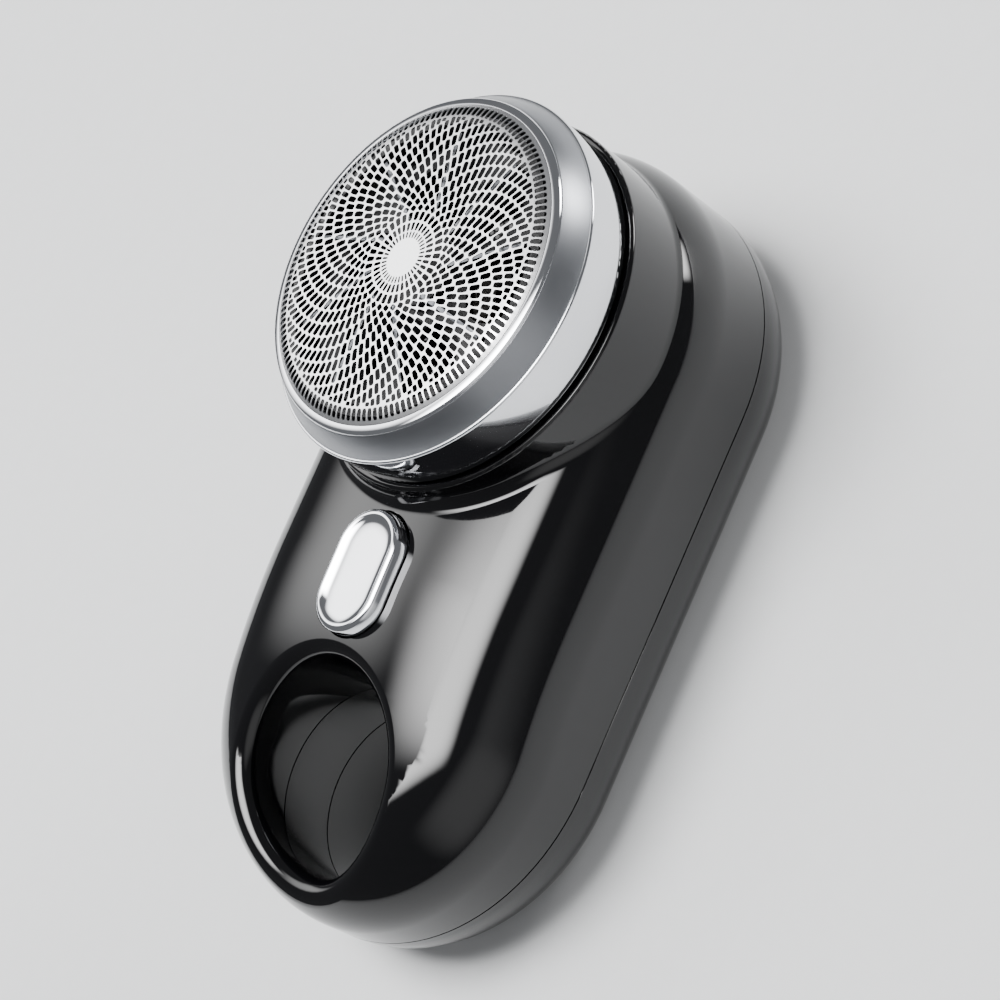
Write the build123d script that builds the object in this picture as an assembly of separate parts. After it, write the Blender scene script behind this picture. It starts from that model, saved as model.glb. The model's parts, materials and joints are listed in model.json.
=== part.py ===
from build123d import *
from math import asin, cos, degrees, hypot, radians, sin, sqrt, tan
import os

# A pocket electric shaver, lying on its flat back, in millimetres.
# X runs across the body, Y towards the head end, Z out of the back towards the foil.
# The origin is the centre of the body's outline, on the plane of the back.

# ---- Housing -------------------------------------------------------------
body_length = 73.2      # tail to head end
body_width = 38.5       # side to side
grip_height = 22.9      # level part of the grip face, above the back
tail_height = 16.4      # grip face where it would reach the tail
level_reach = 23.5      # head axis to the end of the level part, towards the tail
face_crown = 60.0       # the face swells across the body on this radius
front_round = 8.75      # rounding of the grip face into the sides
back_round = 7.0        # rounding of the back into the sides
wall = 1.6
seam_height = 7.6       # parting line of front shell and rear cover
seam_gap = 0.15         # fine shadow line between two visible edges

# ---- Drum that carries the head ------------------------------------------
drum_setback = 1.5      # drum's side inside the body's side
drum_height = 24.8
drum_blend = 1.5        # hollow blend of the drum into the grip face
drum_edge = 0.35        # softened front edge of the drum

# ---- Finger hole ---------------------------------------------------------
hole_radius = 8.9
hole_tail_margin = 12.4     # hole's axis to the tail end
hole_lip = 1.45             # rolled lip at the front
hole_back_lip = 1.4         # rolled lip at the back
sleeve_wall = 1.4
sleeve_flange = 1.0         # middle frame's flange around the sleeve
sleeve_clearance = 0.25     # button and its seal, clear of the sleeve
sleeve_seam = 13.4          # top of the middle frame's visible band in the hole

# ---- Head cap ------------------------------------------------------------
head_gap = 0.3          # shadow gap between drum and cap
band_setback = 0.25     # chrome band's rim inside the drum's side
band_height = 4.9
band_taper = 0.3        # the band is slimmer at its bottom edge
band_wall = 1.2
bevel_height = 2.2
bevel_width = 1.6
bevel_wall = 0.9
skirt_width = 0.8       # bright ring around the foil
skirt_height = 0.35
foil_crown = 1.05       # rise of the foil from rim to pole
foil_thickness = 0.2
retainer_wall = 0.8
retainer_height = 1.3
latch_wall = 0.8
latch_height = 2.4
cap_clearance = 0.5     # latch ring around the head seat

# ---- Head seat and cutter ------------------------------------------------
seat_wall = 1.4
seat_height = 3.4
head_seal_wire = 1.0
blade_count = 9
blade_thickness = 0.35
blade_rake = 24.0       # degrees that each blade is turned from the radius
blade_gap = 0.35        # blade tips to foil in this model
rim_gap = 0.6           # blade ends and carrier to the foil's retainer
carrier_plate = 1.0
carrier_lift = 4.0      # carrier's plate above the drum
hub_drop = 0.7          # hub below the carrier's plate
hub_rise = 1.3          # hub above the carrier's plate
socket_depth = 0.9      # driving socket above the plate
carrier_windows = 6
window_share = 0.39     # window's radius, as a share of the radius it stands on
hub_radius = 3.3
square_side = 3.0       # driving square
square_clearance = 0.1
float_travel = 0.6      # cutter's sprung float

# ---- Drive ---------------------------------------------------------------
coupler_radius = 3.4
coupler_base = 0.8
coupler_lift = 0.3      # coupler's flange above the drum
spring_wire = 0.25
spring_turns = 2.5
shaft_radius = 0.75
bearing_clearance = 0.03
motor_radius = 8.0
motor_length = 12.6
motor_wall = 0.8
end_cap_height = 1.6
bush_radius = 2.2
magnet_thickness = 1.1
air_gap = 0.35
magnet_gap = 0.35       # magnets clear of the can's wall
bracket_thickness = 1.3
inner_clearance = 0.3   # loose fit of inner plates in their shells
screw_radius = 0.8

# ---- Button --------------------------------------------------------------
button_reach = 25.15    # head axis to the button's centre
button_radius = 3.7
button_straight = 4.0   # straight stretch between the two round ends
button_proud = 1.25     # rim of the button above the grip face
button_clearance = 0.22
button_bevel = 0.55
button_dish = 0.35
button_flange = 0.8
seal_margin = 2.0       # silicone seal around the button's outline
button_travel = 0.5
stem_radius = 1.3

# ---- Board, switch, charging port, battery -------------------------------
frame_thickness = 1.2
board_lift = 1.4        # board above the middle frame's plate
board_thickness = 1.0
board_width = 25.4
board_length = 18.5
switch_side = 6.0
switch_height = 3.5
plunger_radius = 1.2
plunger_height = 1.0
port_length = 7.35
port_width = 8.94
port_height = 3.26
port_wall = 0.3
port_depth = 0.25       # port's mouth behind the side of the body
battery_width = 21.0
battery_length = 27.0
battery_pad_height = 0.4
battery_gap = 0.3       # cell under the middle frame
lead_radius = 0.45
lead_spacing = 6.0

# ---- Case screws ---------------------------------------------------------
screw_post = 1.9
screw_head_radius = 1.5
screw_head_height = 1.0
screw_recess = 1.6
screw_grip = 5.5        # thread that enters the front shell
tail_screw_x = 9.9
tail_screw_reach = 32.1 # head axis to the tail pair of screws
head_screw_radius = 10.2
head_screw_angle = 38.0
lip_wall = 1.0
lip_height = 1.0        # rear cover's lip above the parting line
lip_root = 1.8          # where the lip joins the cover's wall, below the parting line
seal_height = 0.8

# ---- Places that follow from those sizes ---------------------------------
half_length = body_length / 2
far = 2 * body_length
half_width = body_width / 2
head_y = half_length - half_width
level_end = head_y - level_reach
hole_y = hole_tail_margin - half_length
front_edge = min(front_round, 0.68 * tail_height)
back_edge = min(back_round, 0.54 * tail_height)

face_run = level_end + half_length
face_drop = grip_height - tail_height
face_radius = (face_run ** 2 + face_drop ** 2) / (2 * face_drop)

drum_radius = half_width - drum_setback
deck_height = drum_height - wall
band_bottom = drum_height + head_gap
band_top = band_bottom + band_height
band_radius = drum_radius - band_setback
band_inner = band_radius - band_taper - band_wall
bevel_top = band_top + bevel_height
bevel_inner = band_radius - bevel_width
foil_radius = bevel_inner - skirt_width
foil_rim = bevel_top + skirt_height - foil_thickness
retainer_inner = foil_radius - bevel_wall - retainer_wall
latch_inner = band_inner - latch_wall
seat_radius = latch_inner - cap_clearance
cutter_radius = retainer_inner - rim_gap
carrier_bottom = drum_height + carrier_lift
coupler_top = drum_height + coupler_lift + coupler_base

frame_top = seam_height + 0.6
frame_bottom = frame_top - frame_thickness
lip_inset = wall + 0.1
frame_inset = lip_inset + lip_wall + inner_clearance
battery_height = frame_bottom - wall - battery_pad_height - battery_gap - 0.1
rotor_radius = motor_radius - motor_wall - magnet_gap - magnet_thickness - air_gap
bracket_bottom = deck_height - bracket_thickness
motor_bottom = bracket_bottom - motor_length
shaft_bottom = motor_bottom + end_cap_height / 2

board_bottom = frame_top + board_lift
board_top = board_bottom + board_thickness
board_end = head_y - motor_radius - inner_clearance - 2.0
board_y = board_end - board_length / 2
board_x = -1.8
port_y = board_y + board_length / 2 - port_width / 2 - 2.5
port_x = -half_width + port_depth + port_length / 2

button_y = head_y - button_reach
button_tilt = degrees(asin((level_end - button_y) / face_radius))
button_face = grip_height - face_radius * (1 - cos(radians(button_tilt)))
seal_reach = button_straight / 2 + button_radius + seal_margin
plane_rise = button_face + seal_reach * tan(radians(button_tilt)) - grip_height
face_sag = seal_reach ** 2 / (2 * face_radius)
side_sag = (button_radius + seal_margin) ** 2 / (2 * (face_crown - wall))
button_ceiling = -wall - max(plane_rise, face_sag) - side_sag    # inner skin, from the face
button_normal = Vector(0, -sin(radians(button_tilt)), cos(radians(button_tilt)))

screw_cup = screw_head_radius + 0.15 + 0.85
screw_places = [
    (side * tail_screw_x, head_y - tail_screw_reach) for side in (-1, 1)
] + [
    (side * head_screw_radius * cos(radians(head_screw_angle)),
     head_y + head_screw_radius * sin(radians(head_screw_angle))) for side in (-1, 1)
]


# ---- Helpers -------------------------------------------------------------
def disc(radius, bottom, top, x=0.0, y=None):
    """Upright round bar; on the head axis unless told otherwise."""
    centre_y = head_y if y is None else y
    bar = Cylinder(radius, top - bottom, align=(Align.CENTER, Align.CENTER, Align.MIN))
    return Pos(x, centre_y, bottom) * bar


def tube(outer, inner, bottom, top, x=0.0, y=None):
    """Upright ring or sleeve."""
    return disc(outer, bottom, top, x, y) - disc(inner, bottom - 1, top + 1, x, y)


def block(width, length, bottom, top, x=0.0, y=0.0):
    bar = Box(width, length, top - bottom, align=(Align.CENTER, Align.CENTER, Align.MIN))
    return Pos(x, y, bottom) * bar


def turned(points):
    """Ring on the head axis, turned from an outline of (radius, height) points."""
    outline = make_face(Polyline(*points, close=True))
    return Pos(0, head_y, 0) * revolve(Plane.XZ * outline, Axis.Z)


def stadium(inset, bottom, top):
    """The body's plan outline, drawn in by inset, between two heights."""
    plan = SlotOverall(2 * (half_length - inset), 2 * (half_width - inset), rotation=90)
    return Pos(0, 0, bottom) * extrude(plan, amount=top - bottom)


def joined(pieces):
    return pieces[0].fuse(*pieces[1:])


def group(pieces):
    """Several loose solids of one kind, kept as one node."""
    return Compound(children=[piece.solid() for piece in pieces])


def pill(grow, low, high):
    """Upright pill centred on the button, standing square to the grip face.

    Its heights are measured from the grip face, along the face's normal.
    """
    place = Plane(origin=(0, button_y, button_face), x_dir=(1, 0, 0), z_dir=button_normal)
    outline = SlotCenterToCenter(button_straight, 2 * (button_radius + grow), rotation=90)
    return place * (Pos(0, 0, low) * extrude(outline, amount=high - low))


def button_rod(radius, low, high):
    """Round bar on the button's line of travel, heights from the grip face."""
    place = Plane(origin=(0, button_y, button_face), x_dir=(1, 0, 0), z_dir=button_normal)
    bar = Cylinder(radius, high - low, align=(Align.CENTER, Align.CENTER, Align.MIN))
    return place * (Pos(0, 0, low) * bar)


# ---- Outer form ----------------------------------------------------------
def grip(inset):
    """The grip without its drum: a rounded stadium with a falling grip face."""
    top = grip_height - inset
    tail = half_length - inset
    turn_height = grip_height - face_radius
    crown = face_crown - inset
    edge_height = top - crown + sqrt(crown ** 2 - half_width ** 2)
    across = ThreePointArc((-half_width, edge_height), (0, top), (half_width, edge_height))
    under = Polyline((half_width, edge_height), (half_width, turn_height + 1),
                     (-half_width, turn_height + 1), (-half_width, edge_height))
    section = Pos(0, level_end, 0) * (Plane.XZ * make_face([across, under]))
    level = extrude(section, amount=tail + 2 - level_end, dir=(0, 1, 0))
    turn_line = Axis((0, level_end, turn_height), (1, 0, 0))
    swing = degrees(asin(min(1.0, (face_run + 2) / (face_radius - grip_height))))
    bar = level + revolve(section, turn_line, revolution_arc=swing)
    bar = bar & block(far, far, inset, far)
    form = (stadium(inset, inset, grip_height + 5) & bar).solid()
    upper_edges = []
    for edge in form.edges():
        across_face = edge.bounding_box().size.Y < 0.01
        if edge.bounding_box().min.Z > inset + 3 and not across_face:
            upper_edges.append(edge)
    form = fillet(upper_edges, front_edge - inset)
    lower_edges = [edge for edge in form.edges() if edge.bounding_box().max.Z < inset + 0.01]
    return fillet(lower_edges, back_edge - inset)


def outer_form():
    """The whole closed body: grip, drum with its hollow blend, and finger hole."""
    form = (grip(0) + disc(drum_radius, seam_height, drum_height)).solid()

    def on_drum(edge):
        radii = [hypot((edge @ t).X, (edge @ t).Y - head_y) for t in (0, 0.3, 0.6, 1)]
        return all(abs(radius - drum_radius) < 0.02 for radius in radii)

    blend_edges = [edge for edge in form.edges()
                   if on_drum(edge) and edge.bounding_box().max.Z < drum_height - 1]
    form = fillet(blend_edges, drum_blend)
    rim = [edge for edge in form.edges()
           if on_drum(edge) and edge.bounding_box().min.Z > drum_height - 0.01]
    form = fillet(rim, drum_edge)
    form = form - disc(hole_radius, -1, grip_height + 1, 0, hole_y)

    def on_hole(edge):
        radii = [hypot((edge @ t).X, (edge @ t).Y - hole_y) for t in (0, 0.3, 0.6, 1)]
        return all(abs(radius - hole_radius) < 0.02 for radius in radii)

    lips = [edge for edge in form.edges()
            if on_hole(edge) and edge.bounding_box().size.X + edge.bounding_box().size.Y > 1]
    front_lips = [edge for edge in lips if edge.bounding_box().min.Z > seam_height]
    form = fillet(front_lips, hole_lip)
    lips = [edge for edge in form.edges()
            if on_hole(edge) and edge.bounding_box().max.Z < seam_height
            and edge.bounding_box().size.X + edge.bounding_box().size.Y > 1]
    return fillet(lips, hole_back_lip).solid()


def inner_room():
    """The hollow inside the shells, with the finger hole's sleeve left standing."""
    drum_room = disc(drum_radius - wall, seam_height, deck_height)
    sleeve = disc(hole_radius + sleeve_wall, -1, grip_height + 1, 0, hole_y)
    return grip(wall) + drum_room - sleeve


body = outer_form()
room = inner_room()
above_seam = block(far, far, seam_height + seam_gap / 2, far)
below_seam = block(far, far, -far, seam_height - seam_gap / 2)


def front_shell():
    shell = (body & above_seam) - room
    sleeve_cut = tube(hole_radius + sleeve_wall, hole_radius - 1,
                      seam_height - 1, sleeve_seam, 0, hole_y)
    shell = shell - sleeve_cut
    posts = []
    for x, y in screw_places:
        post = disc(screw_post, seam_height + seam_gap / 2, grip_height + 5, x, y)
        posts.append(post & body)
    ledge_bottom = seam_height + lip_height + seal_height
    ledge = stadium(wall - 0.1, ledge_bottom, ledge_bottom + 0.8)
    ledge = ledge - stadium(lip_inset + lip_wall, ledge_bottom - 1, ledge_bottom + 2)
    ledge = (ledge & body) - disc(hole_radius + sleeve_wall, 0, far, 0, hole_y)
    shell = joined([shell] + posts + [ledge])
    for x, y in screw_places:
        shell = shell - disc(screw_radius, seam_height - 1, seam_height + screw_grip, x, y)
    shell = shell - pill(button_clearance, -wall - 3, 5)
    shell = shell - disc(bush_radius + 2.6, deck_height - 1, drum_height + 1)
    mouth = block(wall + 6, port_width + 0.3, board_top - 0.15,
                  board_top + port_height + 0.15, -half_width, port_y)
    mouth_edges = mouth.edges().filter_by(Axis.X)
    shell = shell - fillet(mouth_edges, 1.5)
    return shell.solid()


def rear_cover():
    cover = (body & below_seam) - room
    root = stadium(wall - 0.1, seam_height - lip_root, seam_height - seam_gap / 2)
    lip = stadium(lip_inset, seam_height - lip_root, seam_height + lip_height) & grip(lip_inset)
    lip = (root + lip) - stadium(lip_inset + lip_wall, 0, seam_height + lip_height + 1)
    bosses = []
    for x, y in screw_places:
        cup = disc(screw_cup, wall / 2, screw_recess + screw_head_height + wall / 2, x, y)
        bosses.append(cup + disc(screw_post, wall, seam_height - seam_gap / 2, x, y))
    cover = joined([cover, lip & grip(wall - 0.1)] + bosses)
    for x, y in screw_places:
        cover = cover - disc(screw_radius + 0.2, -1, seam_height + 1, x, y)
        cover = cover - disc(screw_head_radius + 0.15, -1,
                             screw_recess + screw_head_height, x, y)
    sleeve_cut = disc(hole_radius + sleeve_wall, seam_height - seam_gap / 2,
                      seam_height + 5, 0, hole_y)
    return (cover - sleeve_cut).solid()


def middle_frame():
    """Plate between the shells, with the band that shows inside the finger hole."""
    plate = stadium(frame_inset, frame_bottom, frame_top)
    plate = plate - disc(hole_radius + sleeve_wall + inner_clearance,
                         frame_bottom - 1, frame_top + 1, 0, hole_y)
    band = tube(hole_radius + sleeve_wall - 0.02, hole_radius,
                seam_height + seam_gap / 2, sleeve_seam - seam_gap, 0, hole_y)
    flange = tube(hole_radius + sleeve_wall + inner_clearance + sleeve_flange,
                  hole_radius + sleeve_wall - 0.1,
                  seam_height + seam_gap / 2, frame_top, 0, hole_y)
    frame = joined([plate, band, flange & stadium(frame_inset, 0, far)])
    for x, y in screw_places:
        frame = frame - disc(screw_post + inner_clearance, 0, far, x, y)
    for side in (-1, 1):
        frame = frame - disc(lead_radius + 0.5, 0, far, side * lead_spacing / 2,
                             board_y - board_length / 4)
    pads = [disc(1.6, frame_top - 0.2, board_bottom, board_x + side * (board_width / 2 - 4),
                 board_y + end * (board_length / 2 - 2.2)) for side in (-1, 1) for end in (-1, 1)]
    return joined([frame] + pads).solid()


def case_seal():
    bottom = seam_height + lip_height
    ring = stadium(lip_inset, bottom, bottom + seal_height) & grip(lip_inset)
    ring = ring - stadium(lip_inset + lip_wall, bottom - 1, bottom + seal_height + 1)
    sleeve_room = hole_radius + sleeve_wall + sleeve_flange + 2 * inner_clearance
    return ring - disc(sleeve_room, 0, far, 0, hole_y)


def case_screws():
    screws = []
    for x, y in screw_places:
        head = disc(screw_head_radius, screw_recess, screw_recess + screw_head_height, x, y)
        slot = Rectangle(screw_head_radius * 1.4, 0.4) + Rectangle(0.4, screw_head_radius * 1.4)
        cross = Pos(x, y, screw_recess) * extrude(slot, amount=0.5)
        shank = disc(screw_radius, screw_recess + screw_head_height,
                     seam_height + screw_grip, x, y)
        screws.append(head - cross + shank)
    return group(screws)


# ---- Head cap ------------------------------------------------------------
def chrome_band():
    low = band_radius - band_taper
    edge = 0.25
    return turned([
        (band_inner, band_bottom), (low - edge, band_bottom), (low, band_bottom + edge),
        (band_radius - 0.05, band_top - edge), (band_radius - edge, band_top),
        (bevel_inner - bevel_wall, band_top), (bevel_inner - bevel_wall, band_top - 0.8),
        (band_inner, band_top - 0.8),
    ])


def bevel_ring():
    return turned([
        (bevel_inner - bevel_wall, band_top), (band_radius - 0.25, band_top),
        (bevel_inner, bevel_top), (bevel_inner - bevel_wall, bevel_top),
    ])


def foil_skirt():
    return turned([
        (foil_radius, bevel_top), (bevel_inner, bevel_top),
        (bevel_inner - 0.15, bevel_top + 0.2), (foil_radius, bevel_top + skirt_height),
    ])


def dome(radius, rim, crown, bottom):
    """Solid under a shallow dome, down to a flat bottom."""
    ball_radius = (radius ** 2 + crown ** 2) / (2 * crown)
    ball = Pos(0, head_y, rim + crown - ball_radius) * Sphere(ball_radius)
    return disc(radius, bottom, rim + crown + 1) & ball


def shaving_foil():
    upper = dome(foil_radius, foil_rim + foil_thickness, foil_crown, foil_rim - 1)
    lower = dome(foil_radius, foil_rim, foil_crown, foil_rim - 2)
    return (upper - lower).solid()


def foil_retainer():
    top = foil_rim - 0.02
    outer = foil_radius - bevel_wall
    return tube(outer, retainer_inner, top - retainer_height, top)


def latch_ring():
    """Ring inside the band that snaps over the seat's seal."""
    ring = tube(band_inner, latch_inner, band_bottom, band_bottom + latch_height)
    return ring


# ---- Head seat and cutter ------------------------------------------------
def head_seat():
    ring = tube(seat_radius, seat_radius - seat_wall, drum_height, drum_height + seat_height)
    groove = seal_path_height()
    cut = tube(seat_radius + 1, seat_radius - 0.6, groove - 0.6, groove + 0.6)
    return (ring - cut).solid()


def seal_path_height():
    return drum_height + latch_height / 2 + head_gap


def head_seal():
    ring = Torus(seat_radius - 0.6 + head_seal_wire / 2 + 0.05, head_seal_wire / 2)
    return Pos(0, head_y, seal_path_height()) * ring


def carrier_square(side, bottom, top):
    return block(side, side, bottom, top, 0, head_y)


def blade_carrier():
    plate_top = carrier_bottom + carrier_plate
    plate = disc(cutter_radius, carrier_bottom, plate_top)
    hub = disc(hub_radius, carrier_bottom - hub_drop, plate_top + hub_rise)
    carrier = plate + hub
    reach = (cutter_radius + hub_radius) / 2
    window = window_share * reach
    for turn in range(carrier_windows):
        angle = radians(turn * 360 / carrier_windows)
        carrier = carrier - disc(window, carrier_bottom - 1, plate_top + 1,
                                 reach * cos(angle), head_y + reach * sin(angle))
    socket_top = plate_top + socket_depth
    carrier = carrier - carrier_square(square_side + 2 * square_clearance,
                                       carrier_bottom - 2, socket_top)
    return carrier.solid()


def cutter_blades():
    """Thin raked blades on the carrier, ground to follow the foil's dome."""
    base = carrier_bottom + carrier_plate
    start = hub_radius + 0.9
    length = (cutter_radius - start) * 0.985
    cover = dome(cutter_radius, dome_height_at(cutter_radius) - blade_gap,
                 foil_rim + foil_crown - dome_height_at(cutter_radius), base - 1)
    blades = []
    for turn in range(blade_count):
        blade = Box(length, blade_thickness, 8, align=(Align.MIN, Align.CENTER, Align.MIN))
        blade = Pos(start, 0, 0) * Rot(0, 0, blade_rake) * blade
        blade = Pos(0, head_y, base) * Rot(0, 0, turn * 360 / blade_count) * blade
        blades.append((blade & cover).solid())
    return group(blades)


def dome_height_at(radius):
    """Height of the foil's underside at a distance from the head axis."""
    ball_radius = (foil_radius ** 2 + foil_crown ** 2) / (2 * foil_crown)
    return foil_rim + foil_crown - ball_radius + sqrt(ball_radius ** 2 - radius ** 2)


# ---- Drive ---------------------------------------------------------------
def drive_coupler():
    flange = disc(coupler_radius, coupler_top - coupler_base, coupler_top)
    square_top = carrier_bottom + carrier_plate + socket_depth - float_travel - 0.15
    post = carrier_square(square_side, coupler_top, square_top)
    bore = disc(shaft_radius, 0, coupler_top + 1.0)
    return (flange + post - bore).solid()


def coupler_spring():
    """Light coil between the coupler's flange and the carrier's hub."""
    low = coupler_top + spring_wire / 2
    high = carrier_bottom - hub_drop - spring_wire / 2
    radius = square_side / sqrt(2) + spring_wire / 2 + 0.2
    path = Helix(pitch=(high - low) / spring_turns, height=high - low, radius=radius)
    section = Plane(origin=path @ 0, z_dir=path % 0) * Circle(spring_wire / 2)
    return Pos(0, head_y, low) * sweep(section, path=path, is_frenet=True)


def motor_shaft():
    return disc(shaft_radius, shaft_bottom, coupler_top + 1.0)


def rotor():
    low = motor_bottom + end_cap_height + 1.0
    high = bracket_bottom - motor_wall - 1.4
    core = disc(rotor_radius, low, high)
    for turn in range(3):
        angle = turn * 120
        notch = Pos(rotor_radius, 0, 0) * Box(2.4, 1.0, 3 * motor_length)
        core = core - Pos(0, head_y, low) * Rot(0, 0, angle) * notch
    collar = disc(2.0, low - 0.8, high + 0.8)
    return (core + collar - disc(shaft_radius, 0, far)).solid()


def field_magnets():
    inner = rotor_radius + air_gap
    outer = inner + magnet_thickness
    low = motor_bottom + end_cap_height + 0.6
    high = bracket_bottom - motor_wall - 1.0
    ring = tube(outer, inner, low, high)
    gap = block(2.4, 4 * motor_radius, low - 1, high + 1, 0, head_y)
    return group((ring - gap).solids())


def motor_can():
    inner = motor_radius - motor_wall
    low = motor_bottom + end_cap_height
    can = disc(motor_radius, low, bracket_bottom)
    can = can - disc(inner, low - 1, bracket_bottom - motor_wall)
    can = can - disc(bush_radius, bracket_bottom - 2 * motor_wall, bracket_bottom + 1)
    for x, y in motor_screw_places():
        can = can - disc(screw_radius, bracket_bottom - 2 * motor_wall, bracket_bottom + 1, x, y)
    return can.solid()


def motor_screw_places():
    reach = motor_radius * 0.66
    return [(side * reach, head_y) for side in (-1, 1)]


def motor_end_cap():
    cap = disc(motor_radius, motor_bottom, motor_bottom + end_cap_height)
    return (cap - disc(shaft_radius + bearing_clearance, shaft_bottom - 0.1, far)).solid()


def motor_bush():
    return tube(bush_radius, shaft_radius + bearing_clearance,
                bracket_bottom - motor_wall, deck_height + wall / 2)


def motor_bracket():
    plate = disc(drum_radius - wall - inner_clearance, bracket_bottom, deck_height)
    plate = plate - disc(bush_radius + 0.2, 0, far)
    for x, y in motor_screw_places():
        plate = plate - disc(screw_radius + 0.15, 0, far, x, y)
        plate = plate - disc(screw_head_radius + 0.1, deck_height - 0.7, far, x, y)
    for x, y in screw_places:
        plate = plate - disc(screw_post + inner_clearance, 0, far, x, y)
    return (plate & grip_allowance()).solid()


def grip_allowance():
    """Room for inner plates: the hollow of the body, drawn in by the loose clearance."""
    clear = wall + inner_clearance
    return grip(clear) + disc(drum_radius - clear, seam_height, deck_height)


def motor_screws():
    screws = []
    for x, y in motor_screw_places():
        head = disc(screw_head_radius, deck_height - 0.7, deck_height - 0.05, x, y)
        shank = disc(screw_radius, bracket_bottom - motor_wall, deck_height - 0.7, x, y)
        screws.append(head + shank)
    return group(screws)


def motor_pad():
    return disc(motor_radius - 0.6, frame_top, motor_bottom)


# ---- Button and switch ---------------------------------------------------
def sleeve_space():
    """Room that the button's pieces leave for the finger hole's sleeve."""
    limit = hole_y + hole_radius + sleeve_wall + sleeve_clearance
    return block(far, far, -1, far, 0, limit - far / 2)


def flange_top():
    """Height of the button's flange from the grip face: just under the shell."""
    return button_ceiling - 0.1


def power_button():
    cap = pill(0, flange_top(), button_proud)
    rim = [edge for edge in cap.edges() if edge.center().Z > button_face + button_proud / 2]
    cap = chamfer(rim, button_bevel)
    dish = pill(-button_bevel - 0.55, button_proud - button_dish, button_proud + 1)
    flange = pill(0.75, flange_top() - button_flange, flange_top()) - sleeve_space()
    stem = button_rod(stem_radius, stem_end(), flange_top() - button_flange)
    return (cap - dish + flange + stem).solid()


def stem_end():
    """The stem ends on the switch's plunger, measured from the grip face."""
    plunger_top = board_top + switch_height + plunger_height
    return (plunger_top - button_face) / cos(radians(button_tilt))


def button_seal():
    """Silicone sheet under the flange, sealed to the shell around the button."""
    top = flange_top() - button_flange - button_travel - 0.35
    cup = pill(seal_margin, top - 0.5, button_ceiling - 0.05) - pill(1.1, top, 5)
    cup = cup - sleeve_space()
    return (cup - button_rod(stem_radius + 0.3, top - 2, top + 2)).solid()


def circuit_board():
    board = block(board_width, board_length, board_bottom, board_top, board_x, board_y)
    board = fillet(board.edges().filter_by(Axis.Z), 1.0)
    for x, y in screw_places:
        board = board - disc(screw_post + inner_clearance, 0, far, x, y)
    return board.solid()


def board_components():
    chips = [(4.0, 4.0, 1.0, 7.0, 5.0), (2.8, 1.6, 0.9, 7.5, 0.5), (2.0, 1.2, 0.7, 7.5, -3.0),
             (2.0, 1.2, 0.7, 7.5, -5.5)]
    parts = []
    for width, length, height, x, y in chips:
        parts.append(block(width, length, board_top, board_top + height,
                           board_x + x, board_y + y))
    return group(parts)


def switch_middle():
    """Where the button's line of travel meets the top of the switch."""
    drop = button_face - board_top - switch_height
    return button_y + drop * tan(radians(button_tilt))


def tact_switch():
    case = block(switch_side, switch_side, board_top, board_top + switch_height,
                 0, switch_middle())
    case = fillet(case.edges().filter_by(Axis.Z), 0.5)
    top = (board_top + switch_height - button_face) / cos(radians(button_tilt))
    return (case - button_rod(plunger_radius + 0.3, top - button_travel - 0.6, top + 1)).solid()


def switch_plunger():
    low = (board_top + switch_height - button_face) / cos(radians(button_tilt)) - 0.05
    return button_rod(plunger_radius, low, stem_end())


def port_shell(grow, low_x, high_x):
    """Rounded metal tube of a USB-C socket, along X."""
    outline = SlotOverall(port_width + 2 * grow, port_height + 2 * grow)
    middle = board_top + port_height / 2
    place = Plane(origin=(low_x, port_y, middle), x_dir=(0, 1, 0), z_dir=(1, 0, 0))
    return place * extrude(outline, amount=high_x - low_x)


def charge_port():
    low = port_x - port_length / 2
    high = port_x + port_length / 2
    return (port_shell(0, low, high) - port_shell(-port_wall, low - 1, high - 0.8)).solid()


def port_tongue():
    """Contact tongue in the middle of the charging socket."""
    high = port_x + port_length / 2 - 0.8
    low = port_x - port_length / 2 + 1.0
    middle = board_top + port_height / 2
    return block(high - low, port_width * 0.75, middle - 0.35, middle + 0.35,
                 (low + high) / 2, port_y)


def battery_top():
    return wall + 0.1 + battery_pad_height + battery_height


def battery_place():
    """The cell lies between the tail screws and the head screws."""
    return head_y - tail_screw_reach + screw_cup + inner_clearance + battery_length / 2


def battery_cell():
    low = wall + 0.1 + battery_pad_height
    cell = block(battery_width, battery_length, low, battery_top(), 0, battery_place())
    return fillet(cell.edges(), 0.8).solid()


def battery_pad():
    return block(battery_width - 2, battery_length - 2, wall + 0.02,
                 wall + 0.1 + battery_pad_height, 0, battery_place())


def battery_leads():
    y = board_y - board_length / 4
    leads = [disc(lead_radius, battery_top(), board_bottom, side * lead_spacing / 2, y)
             for side in (-1, 1)]
    return group(leads)


def motor_leads():
    """Two short wires that rise from the board and turn into the motor's side."""
    leads = []
    start_y = board_end - 1.2
    height = board_top + 3.4
    for side in (-1, 1):
        x = side * lead_spacing / 2
        wall_y = head_y - sqrt(motor_radius ** 2 - (abs(x) + lead_radius) ** 2) + 0.25
        path = FilletPolyline((x, start_y, board_top), (x, start_y, height),
                              (x, wall_y, height), radius=1.2)
        section = Plane(origin=path @ 0, z_dir=path % 0) * Circle(lead_radius)
        wire = sweep(section, path=path)
        leads.append((wire - disc(motor_radius, 0, far)).solid())
    return group(leads)


# ---- Write one file for each piece ---------------------------------------
pieces = [
    front_shell, rear_cover, middle_frame, case_seal, case_screws,
    chrome_band, bevel_ring, foil_skirt, shaving_foil, foil_retainer, latch_ring,
    head_seat, head_seal, blade_carrier, cutter_blades,
    drive_coupler, coupler_spring, motor_shaft, rotor, field_magnets,
    motor_can, motor_end_cap, motor_bush, motor_bracket, motor_screws, motor_pad,
    power_button, button_seal, circuit_board, board_components,
    tact_switch, switch_plunger, charge_port, port_tongue,
    battery_cell, battery_pad, battery_leads, motor_leads,
]

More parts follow.
